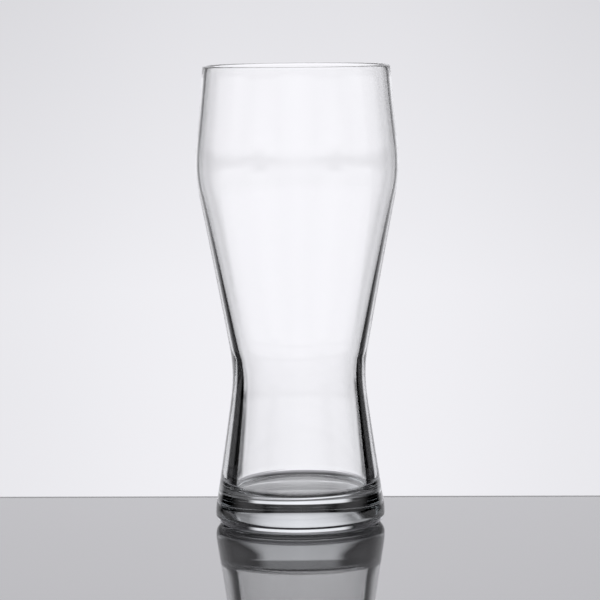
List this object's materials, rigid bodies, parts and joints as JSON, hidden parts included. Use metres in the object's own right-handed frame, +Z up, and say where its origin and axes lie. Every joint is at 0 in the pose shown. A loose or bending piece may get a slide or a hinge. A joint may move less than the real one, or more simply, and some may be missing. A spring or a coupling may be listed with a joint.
{
  "type": "pint glass",
  "caption": "Clear one-piece glass pint tumbler with a heavy foot, narrow waist, full belly and a rounded lip, made to stand on a flat surface.",
  "frame": {"origin": "centre of the circle the glass stands on, on the plane of its bearing ring", "axes": "+Z up along the axis of revolution; +X and +Y are free, because the glass is a body of revolution"},
  "size_m": [0.083, 0.083, 0.188],
  "materials": {
    "clear_glass": "fire-polished clear soda-lime glass, neutral with a faint cool tint in its thickest part"
  },
  "bodies": {
    "root": {"glass_body": "clear_glass"}
  },
  "joints": []
}
